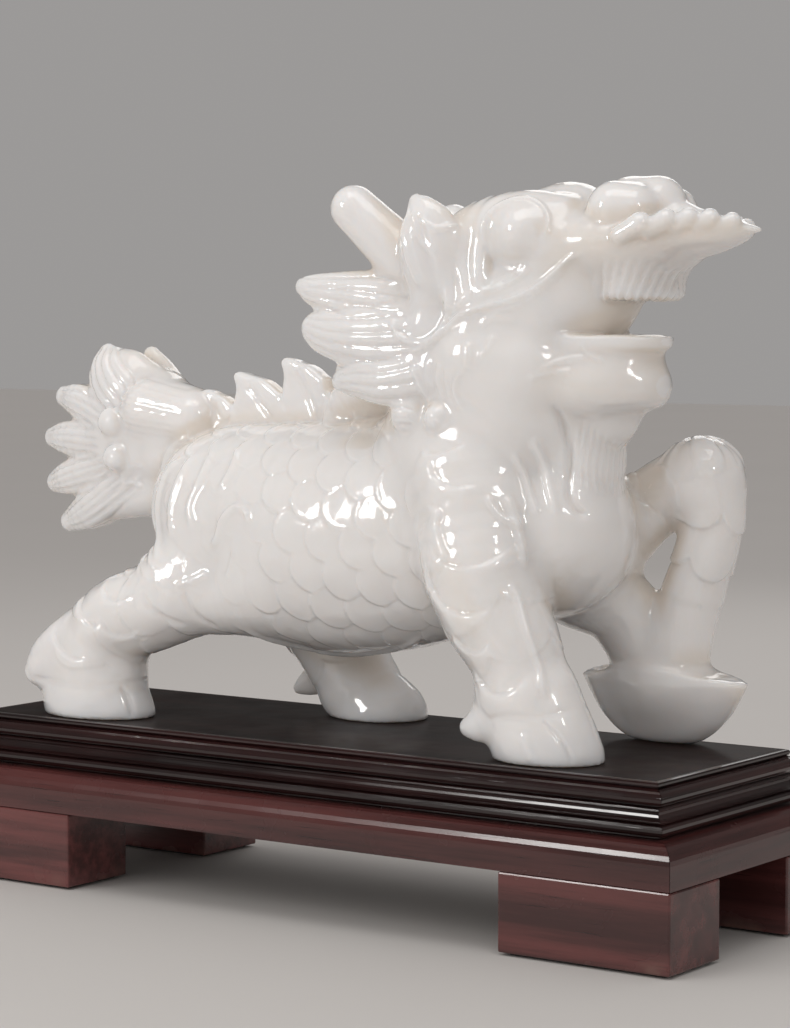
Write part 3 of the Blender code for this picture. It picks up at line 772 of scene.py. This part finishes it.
def cut_scales(surface):
    """Overlapping scales over the flanks and back, fainter on the haunch, none on belly, chest or head."""
    x, y, z = surface.right.T
    torso = np.minimum(BODY[0].distance(x, y, z), BODY[1].distance(x, y, z))
    torso = np.minimum(torso, NEAR_FLANK.distance(x, y, z))
    mask = smooth_step(1.6 - np.abs(torso) / 4.0)
    mask *= smooth_step((z - 36.0) / 10.0) * smooth_step((72.0 - x) / 14.0) * smooth_step((x + 104.0) / 10.0)
    mask *= smooth_step((-y - 4.0) / 6.0)
    haunch = smooth_step((-24.0 - x) / 10.0) * smooth_step((128.0 - z) / 12.0)
    mask *= 1.0 - 0.72 * haunch
    down = BARREL_RADIUS * np.arctan2(BARREL_AXIS_Z - z, -y)
    u = -x * math.cos(SCALE_LEAN) + down * math.sin(SCALE_LEAN)
    v = x * math.sin(SCALE_LEAN) + down * math.cos(SCALE_LEAN)
    scales = shingle(u + 4.0, v + 6.0, SCALE_PITCH, SCALE_WIDTH, SCALE_RADIUS, 1.5)
    surface.height += SCALE_HEIGHT * mask * (scales - MEAN_SHINGLE)


PLATES_ROUND_LEG = 4


def cut_leg_plates(surface, form, pitch, wide, depth, phase, start=0.2, end=1.0):
    """Overlapping plates down a leg, with their free edges towards the hoof."""
    belongs = surface.on_form(form, 3.0)
    pick = np.where(belongs > 0.0)[0]
    u, across, out, length = along_and_across(form, surface.points[pick])
    share = u / length
    v = np.arctan2(across, -out) * wide * PLATES_ROUND_LEG / (2.0 * math.pi)
    plates = shingle(u + phase, v, pitch, wide, 0.62 * wide, 1.3)
    fade = smooth_step((share - start) / 0.12) * smooth_step((end - share) / 0.06 + 0.3)
    surface.height[pick] += depth * fade * belongs[pick] * (plates - MEAN_SHINGLE)


PLEAT_WIDTH, PLEAT_HEIGHT, PLEAT_LEAN = 4.0, 1.3, 0.022


def cut_pleats(surface):
    """The fringe under the upper jaw hangs in curved pleats."""
    x, y, z = surface.right.T
    gap = np.abs(FRINGE.distance(x, y, z))
    turn = np.arctan2(-y / FRINGE.ry, (x - FRINGE.x) / FRINGE.rx)
    mask = smooth_step(1.5 - gap / 2.5) * smooth_step((FRINGE.top - z) / 12.0)
    mask *= smooth_step((z - FRINGE.bottom + 2.5) / 3.0) * smooth_step((x - 132.0) / 4.0)
    lean = PLEAT_LEAN * (z - FRINGE.bottom + 0.5)
    phase = np.mod((turn + lean) * FRINGE.rx / PLEAT_WIDTH, 1.0)
    pleat = np.where(phase < 0.75, phase / 0.75, (1.0 - phase) / 0.25)
    surface.height += PLEAT_HEIGHT * mask * (pleat - 0.6)


BEARD_STRANDS = 34
BEARD_RISE, STRAND_HEIGHT = 0.6, 0.32


def cut_beard(surface):
    """Fine strands down the beard, which stands a little proud of the throat."""
    x, y, z = surface.points.T
    mask = surface.on_form(BEARD, 2.5) * smooth_step((148.0 - z) / 12.0)
    turn = np.arctan2(y / BEARD.squash[1], x - BEARD.path[0, 0]) + 0.05 * np.sin(z / 6.0)
    strand = np.cos(turn * BEARD_STRANDS + 2.0 * noise(surface.points, 9.0, 5))
    surface.height += mask * (BEARD_RISE + STRAND_HEIGHT * strand)


def cut_lines(surface):
    for line, width, height in FACE_CORDS:
        surface.ridge(line, width, height, paired=True)
    for line, width, height in JAW_CORDS + BEARD_EDGE + NECK_FACETS + HAUNCH_CORDS + BELLY_CORDS:
        surface.ridge(line, width, height, paired=True)
    for line, width, height in SHIN_FACETS + TOE_LINES + TAIL_CORDS:
        surface.ridge(line, width, height)
    for line, width, height, start_y in CUFFS:
        surface.ridge(line, width, height, start_y=start_y)
    for line, height, fall in SHOULDER_STEPS:
        surface.step(line, height, fall, paired=True)
    for line, height, fall in HIND_STEPS:
        surface.step(line, height, fall)


LID_REACH = 14.5


def cut_eyelids(surface):
    """A thin lid runs round the upper half of each eye."""
    cx, _, cz, _ = EYE.path[0]
    turns = np.radians(np.arange(-20.0, 215.0, 12.0))
    ring = [(cx + LID_REACH * math.cos(t), cz + 1.0 + 0.9 * LID_REACH * math.sin(t)) for t in turns]
    surface.ridge(ring, 0.9, 1.1, paired=True)


def cut_hair(surface):
    for lock, count in zip(LOCKS, (4, 5, 4)):
        surface.flutes(lock, count, 1.0)
    for lobe in LOBES:
        surface.flutes(lobe, 5, 1.1, start=0.2)
    for swell in TAIL_SWELLS[:2]:
        surface.flutes(swell, 9, 0.35, start=0.0, end=1.1)
    for tooth_x, tooth_z, length in CREST_TEETH:
        line = [(tooth_x + 5, tooth_z - 4), (tooth_x + 0.45 * length, tooth_z - 12),
                (tooth_x + 0.8 * length, CREST_FOOT + 5)]
        surface.ridge(line, 2.0, -0.9, paired=True)


def finish_stone(surface):
    """Moves the points out or in by the heights, with a faint uneven noise added, and keeps the soles flat.
    """
    p = surface.points
    surface.height += 0.28 * noise(p, 13.0, 1) + 0.12 * noise(p, 5.0, 2)
    standing = smooth_step((p[:, 2] - 0.6) / 1.5)
    moved = p + surface.normals * (surface.height * standing)[:, None]
    moved[:, 2] = np.maximum(moved[:, 2], 0.0)
    return moved


SHORTEST_EDGE = 0.01


def drop_slivers(mesh):
    """Closes the few edges too short to see, so that the mesh is one closed body with no slivers."""
    bm = bmesh.new()
    bm.from_mesh(mesh)
    bmesh.ops.dissolve_degenerate(bm, dist=SHORTEST_EDGE * MM, edges=bm.edges)
    loose = [vert for vert in bm.verts if not vert.link_faces]
    bmesh.ops.delete(bm, geom=loose, context="VERTS")
    bm.to_mesh(mesh)
    bm.free()


# How deep the stone, and how wide the air, is looked at for its tone.
LIGHT_REACH = 14.0


def build_figure():
    block = carve_stone()
    surface = Surface(block)
    cut_scales(surface)
    cut_leg_plates(surface, NEAR_HIND, 19.0, 26.0, 0.9, 6.0, start=0.25)
    cut_leg_plates(surface, FAR_HIND, 19.0, 26.0, 0.9, 6.0, start=0.25)
    cut_leg_plates(surface, NEAR_FORE, 19.0, 27.0, 0.7, 2.0, start=0.25)
    cut_leg_plates(surface, FAR_FOREARM, 19.0, 24.0, 1.0, 0.0, start=0.3, end=1.1)
    cut_leg_plates(surface, FAR_SHANK, 20.0, 23.0, 1.5, 2.0, start=-0.2, end=0.6)
    cut_lines(surface)
    cut_eyelids(surface)
    cut_hair(surface)
    cut_pleats(surface)
    cut_beard(surface)
    points = finish_stone(surface)

    mesh = bpy.data.meshes.new("stone_beast")
    mesh.from_pydata((points * MM).tolist(), [], surface.quads.tolist())
    mesh.validate()
    mesh.shade_smooth()
    reach = LIGHT_REACH * surface.normals
    thick = np.clip(-block.sample(surface.points - reach) / LIGHT_REACH, 0.0, 1.0)
    open_air = np.clip(block.sample(surface.points + reach) / LIGHT_REACH, 0.0, 1.0)
    for name, values in (("thickness", thick), ("open_air", open_air)):
        mesh.attributes.new(name, "FLOAT", "POINT").data.foreach_set("value", values.astype(np.float32))
    drop_slivers(mesh)
    obj = bpy.data.objects.new("stone_beast", mesh)
    obj.location.z = FIGURE_LOW.z
    bpy.context.scene.collection.objects.link(obj)
    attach(obj, "root")
    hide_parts("carved_figure")
    return obj


# ================================================================ materials

def new_material(name):
    made = bpy.data.materials.new(name)
    made.use_nodes = True
    tree = made.node_tree
    return made, tree, tree.nodes["Principled BSDF"]


def node(tree, kind, settings=None, **inputs):
    """Adds a node. An input is a plain value, or a socket to link. Names use _ for spaces."""
    made = tree.nodes.new("ShaderNode" + kind)
    for key, value in (settings or {}).items():
        setattr(made, key, value)
    feed(tree, made, **inputs)
    return made


def feed(tree, made, **inputs):
    for key, value in inputs.items():
        socket = made.inputs[int(key[1:])] if key[1:].isdigit() else made.inputs[key.replace("_", " ")]
        if isinstance(value, bpy.types.NodeSocket):
            tree.links.new(value, socket)
        else:
            socket.default_value = value


def mix_colour(tree, share, a, b, blend="MIX"):
    """Blends two colours; each is a socket or an RGB triple."""
    a, b = [(*c, 1.0) if isinstance(c, tuple) else c for c in (a, b)]
    made = node(tree, "Mix", {"data_type": "RGBA", "blend_type": blend}, i0=share, i6=a, i7=b)
    return made.outputs[2]


def math_node(tree, operation, a, b=0.0):
    return node(tree, "Math", {"operation": operation, "use_clamp": False}, i0=a, i1=b).outputs[0]


def remap(tree, value, low, high, to_low=0.0, to_high=1.0):
    made = node(tree, "MapRange", {"interpolation_type": "SMOOTHSTEP"}, Value=value,
                From_Min=low, From_Max=high, To_Min=to_low, To_Max=to_high)
    return made.outputs[0]


def noise_map(tree, place, scale, detail=4.0, roughness=0.55):
    made = node(tree, "TexNoise", Vector=place, Scale=scale, Detail=detail, Roughness=roughness)
    return made.outputs["Fac"]


def stretched(tree, scale):
    """Object coordinates, stretched so that a texture runs along one axis."""
    place = node(tree, "TexCoord").outputs["Object"]
    return node(tree, "Mapping", Vector=place, Scale=scale).outputs["Vector"]


def white_stone():
    """Polished white stone that light soaks into: greyer where thin and warmer in thick places, with painted
    shade, darker and warmer, in its hollows and creases.
    """
    made, tree, shader = new_material("white_stone")
    place = node(tree, "TexCoord").outputs["Object"]
    thick = node(tree, "Attribute", {"attribute_name": "thickness"}).outputs["Fac"]
    air = node(tree, "Attribute", {"attribute_name": "open_air"}).outputs["Fac"]
    clouds = noise_map(tree, place, 22.0, 5.0, 0.6)
    wisp_noise = node(tree, "TexNoise", Vector=place, Scale=9.0, Detail=6.0, Roughness=0.6, Distortion=1.4)
    wisps = wisp_noise.outputs["Fac"]

    body = mix_colour(tree, remap(tree, thick, 0.45, 1.0), (0.85, 0.84, 0.84), (0.88, 0.862, 0.85))
    cloudy = mix_colour(tree, remap(tree, clouds, 0.35, 0.7, 0.0, 0.5), body, (0.915, 0.90, 0.89))
    veined = mix_colour(tree, remap(tree, wisps, 0.56, 0.68, 0.0, 0.35), cloudy, (0.80, 0.77, 0.73))
    # Painted shade: the stone turns darker and warmer where little open air lies in front of it, in hollows,
    # creases and between close parts.
    painted_hollow_shade = remap(tree, air, 0.95, 0.35, 0.0, 0.75)
    colour = mix_colour(tree, painted_hollow_shade, veined, (0.80, 0.74, 0.67))

    polish = noise_map(tree, place, 60.0, 3.0)
    rough = math_node(tree, "ADD", remap(tree, polish, 0.3, 0.75, 0.07, 0.16),
                      remap(tree, air, 0.8, 0.4, 0.0, 0.12))
    ripple = noise_map(tree, place, 180.0, 2.0, 0.4)
    scratch = noise_map(tree, stretched(tree, (900.0, 60.0, 900.0)), 1.0, 2.0)
    height = math_node(tree, "ADD", ripple, math_node(tree, "MULTIPLY", scratch, 0.15))
    bump = node(tree, "Bump", Strength=0.10, Distance=0.0008, Height=height)

    feed(tree, shader, Base_Color=colour, Roughness=rough, Normal=bump.outputs["Normal"], IOR=1.56,
         Subsurface_Weight=1.0, Subsurface_Radius=(1.0, 0.92, 0.86), Subsurface_Scale=0.010,
         Coat_Weight=0.7, Coat_Roughness=0.05)
    return made


def rosewood(name, grain, dark, light, roughness, pores, shine):
    """Dark lacquered hardwood. grain is the axis that it runs along; pores show through a thinner lacquer. A
    shine below 1 is a rubbed, duller lacquer."""
    made, tree, shader = new_material(name)
    across, along = 95.0, 5.0
    scale = [along if axis == grain else across for axis in "xyz"]
    fibres = noise_map(tree, stretched(tree, scale), 1.0, 6.0, 0.65)
    bands = noise_map(tree, stretched(tree, [s * 0.22 for s in scale]), 1.0, 3.0, 0.5)
    fine = noise_map(tree, stretched(tree, [s * (4.0 if s == along else 9.0) for s in scale]), 1.0, 2.0, 0.7)
    place = node(tree, "TexCoord").outputs["Object"]
    smears = noise_map(tree, place, 30.0, 4.0)

    band_tone, pore_tone = [tuple(share * c for c in dark) for share in (0.45, 0.25)]
    figured = mix_colour(tree, remap(tree, fibres, 0.34, 0.68), dark, light)
    banded = mix_colour(tree, remap(tree, bands, 0.40, 0.66, 0.0, 0.55), figured, band_tone)
    pored = mix_colour(tree, remap(tree, fine, 0.62, 0.74, 0.0, pores), banded, pore_tone)
    height_z = node(tree, "SeparateXYZ", Vector=place).outputs["Z"]
    scuff = math_node(tree, "MULTIPLY", remap(tree, height_z, 0.010, 0.0015), remap(tree, smears, 0.50, 0.66))
    colour = mix_colour(tree, math_node(tree, "MULTIPLY", scuff, 0.45), pored, (0.22, 0.13, 0.10))

    rough = math_node(tree, "ADD", remap(tree, smears, 0.3, 0.75, roughness - 0.03, roughness + 0.07),
                      math_node(tree, "MULTIPLY", scuff, 0.3))
    relief = math_node(tree, "ADD", math_node(tree, "MULTIPLY", fibres, 0.5),
                       math_node(tree, "MULTIPLY", remap(tree, fine, 0.60, 0.75), -0.4))
    bump = node(tree, "Bump", Strength=0.18, Distance=0.0004, Height=relief)
    feed(tree, shader, Base_Color=colour, Roughness=rough, Normal=bump.outputs["Normal"], IOR=1.5,
         Specular_IOR_Level=0.5 * shine, Coat_Weight=0.35 * shine ** 2, Coat_Roughness=0.12)
    return made


def plain_wood():
    made, tree, shader = new_material("inner_wood")
    rings = noise_map(tree, stretched(tree, (12.0, 12.0, 160.0)), 1.0, 5.0)
    colour = mix_colour(tree, remap(tree, rings, 0.3, 0.7), (0.24, 0.13, 0.065), (0.40, 0.25, 0.14))
    bump = node(tree, "Bump", Strength=0.3, Distance=0.0005, Height=rings)
    feed(tree, shader, Base_Color=colour, Roughness=remap(tree, rings, 0.3, 0.7, 0.55, 0.75),
         Normal=bump.outputs["Normal"])
    return made


def felt():
    made, tree, shader = new_material("felt")
    place = node(tree, "TexCoord").outputs["Object"]
    fibres = noise_map(tree, place, 900.0, 3.0, 0.8)
    colour = mix_colour(tree, fibres, (0.010, 0.010, 0.011), (0.045, 0.043, 0.042))
    bump = node(tree, "Bump", Strength=0.8, Distance=0.0005, Height=fibres)
    feed(tree, shader, Base_Color=colour, Roughness=remap(tree, fibres, 0.2, 0.8, 0.85, 1.0),
         Normal=bump.outputs["Normal"], Sheen_Weight=0.3)
    return made


def paper(name, colour):
    """The pale, very slightly mottled sheet that the stand rests on."""
    made, tree, shader = new_material(name)
    mottle = noise_map(tree, node(tree, "TexCoord").outputs["Object"], 3.0, 6.0)
    tone = mix_colour(tree, mottle, tuple(0.96 * c for c in colour), colour)
    feed(tree, shader, Base_Color=tone, Roughness=0.85)
    return made


# ================================================================ the stand

EDGE_ROUNDING = 0.35  # in millimetres
TOP_DARK, TOP_LIGHT = (0.010, 0.0048, 0.0042), (0.024, 0.0100, 0.0085)
MOULD_DARK, MOULD_LIGHT = (0.012, 0.0050, 0.0050), (0.042, 0.0130, 0.0125)
APRON_DARK, APRON_LIGHT = (0.036, 0.0110, 0.0105), (0.108, 0.0300, 0.0280)
# FOOT_DARK and FOOT_LIGHT are the apron's tones made about 1.65 times lighter: painted light, so that the
# feet show brighter than the apron.
FOOT_DARK, FOOT_LIGHT = (0.060, 0.0190, 0.0180), (0.175, 0.0500, 0.0470)
# The pieces that show, by how their names start: finish, dark and light tone, roughness, pores and shine.
OUTER_WOODS = {
    "top_panel": ("top_wood", TOP_DARK, TOP_LIGHT, 0.34, 0.35, 0.12),
    "frame_rail": ("frame_wood", MOULD_DARK, MOULD_LIGHT, 0.16, 0.3, 1.0),
    "cove_moulding": ("frame_wood", MOULD_DARK, MOULD_LIGHT, 0.16, 0.3, 1.0),
    "apron_rail": ("apron_wood", APRON_DARK, APRON_LIGHT, 0.24, 0.6, 1.0),
    "foot": ("foot_wood", FOOT_DARK, FOOT_LIGHT, 0.24, 0.6, 1.0),
}


def soften_edges(obj):
    soften = obj.modifiers.new("soft_edges", "BEVEL")
    soften.width = EDGE_ROUNDING * MM
    soften.segments = 2
    soften.limit_method = "ANGLE"
    soften.angle_limit = math.radians(40.0)


def dress_stand():
    """Gives every CAD node of the stand its finish, with the wood's grain along each piece."""
    inner, pad_felt = plain_wood(), felt()
    woods = {}
    for name, obj in frame["nodes"].items():
        if name == "carved_figure":
            continue
        finish = pad_felt if name.startswith("felt_pad") else inner
        grain = "y" if name.endswith(("rail_left", "rail_right", "moulding_left", "moulding_right")) else "x"
        for start, (kind, *look) in OUTER_WOODS.items():
            if name.startswith(start):
                title = kind + "_" + grain
                if title not in woods:
                    woods[title] = rosewood(title, grain, *look)
                finish = woods[title]
                soften_edges(obj)
        obj.data.materials.clear()
        obj.data.materials.append(finish)


# ================================================================ floor, light and camera

# The view that lines up with the stand's edges, in metres and radians.
CAMERA_PLACE = Vector((0.79358, -1.09361, 0.26866))
CAMERA_AZIMUTH = math.radians(35.40)
CAMERA_ELEVATION = math.radians(3.997)
LENS, SENSOR = 105.06, 36.0


def towards(azimuth, elevation):
    """Unit vector from the object, with azimuth from the front (-Y) towards the right (+X)."""
    flat = math.cos(elevation)
    return Vector((math.sin(azimuth) * flat, -math.cos(azimuth) * flat, math.sin(elevation)))


def add_camera():
    data = bpy.data.cameras.new("camera")
    data.lens, data.sensor_width = LENS, SENSOR
    obj = bpy.data.objects.new("camera", data)
    obj.location = CAMERA_PLACE
    obj.rotation_euler = (-towards(CAMERA_AZIMUTH, CAMERA_ELEVATION)).to_track_quat("-Z", "Y").to_euler()
    bpy.context.scene.collection.objects.link(obj)
    bpy.context.scene.camera = obj


LIGHT_COLOUR = (1.0, 0.985, 0.965)
LIGHT_AIM = Vector((0.0, 0.0, 0.19))


def add_softbox(name, azimuth, elevation, distance, width, height, brightness, glint=True, fill=True):
    """A rectangular light that faces the figure. azimuth is counted from the camera's, in degrees. A light
    may be kept out of the reflections (glint) or may be seen in them alone (fill)."""
    data = bpy.data.lights.new(name, "AREA")
    data.shape = "RECTANGLE"
    data.size, data.size_y = width, height
    data.energy = brightness * math.pi * width * height
    data.color = LIGHT_COLOUR
    obj = bpy.data.objects.new(name, data)
    obj.visible_glossy = glint
    obj.visible_diffuse = fill
    out = towards(CAMERA_AZIMUTH + math.radians(azimuth), math.radians(elevation))
    obj.location = LIGHT_AIM + out * distance
    obj.rotation_euler = (-out).to_track_quat("-Z", "Y").to_euler()
    bpy.context.scene.collection.objects.link(obj)


# The room: its light on the figure, its look in the polish and its look behind the figure.
ROOM_LIGHT, ROOM_MIRRORED, ROOM_SEEN = (0.56, 0.54, 0.53), (0.13, 0.125, 0.12), (0.33, 0.32, 0.315)
FLOOR_HALF = 6.0


def add_studio():
    mesh = bpy.data.meshes.new("floor")
    corners = [(a * FLOOR_HALF, b * FLOOR_HALF, 0) for a, b in ((-1, -1), (1, -1), (1, 1), (-1, 1))]
    mesh.from_pydata(corners, [], [(0, 1, 2, 3)])
    mesh.materials.append(paper("floor_paper", (0.62, 0.60, 0.58)))
    floor = bpy.data.objects.new("floor", mesh)
    bpy.context.scene.collection.objects.link(floor)

    world = bpy.data.worlds.new("studio")
    world.use_nodes = True
    tree = world.node_tree
    ray = node(tree, "LightPath").outputs
    mirrored = mix_colour(tree, ray["Is Glossy Ray"], ROOM_LIGHT, ROOM_MIRRORED)
    seen = mix_colour(tree, ray["Is Camera Ray"], mirrored, ROOM_SEEN)
    feed(tree, tree.nodes["Background"], Color=seen, Strength=1.0)
    bpy.context.scene.world = world

    # Azimuth, elevation, distance, width, height and brightness.
    add_softbox("key", -58.0, 24.0, 1.3, 0.9, 0.9, 1.9, glint=False)
    add_softbox("front", 12.0, 14.0, 1.6, 0.9, 0.7, 0.7, glint=False)
    add_softbox("overhead", -10.0, 70.0, 1.3, 1.0, 0.7, 1.5)
    add_softbox("rim", 165.0, 30.0, 1.4, 0.5, 0.8, 1.2)
    add_softbox("window", -62.0, 20.0, 1.3, 0.22, 0.34, 16.0, fill=False)
    add_softbox("lamp", 26.0, 24.0, 1.5, 0.14, 0.20, 14.0, fill=False)


# ================================================================ everything together

beast = build_figure()
beast.data.materials.append(white_stone())
dress_stand()
add_studio()
add_camera()
bpy.context.scene.view_settings.view_transform = "Standard"
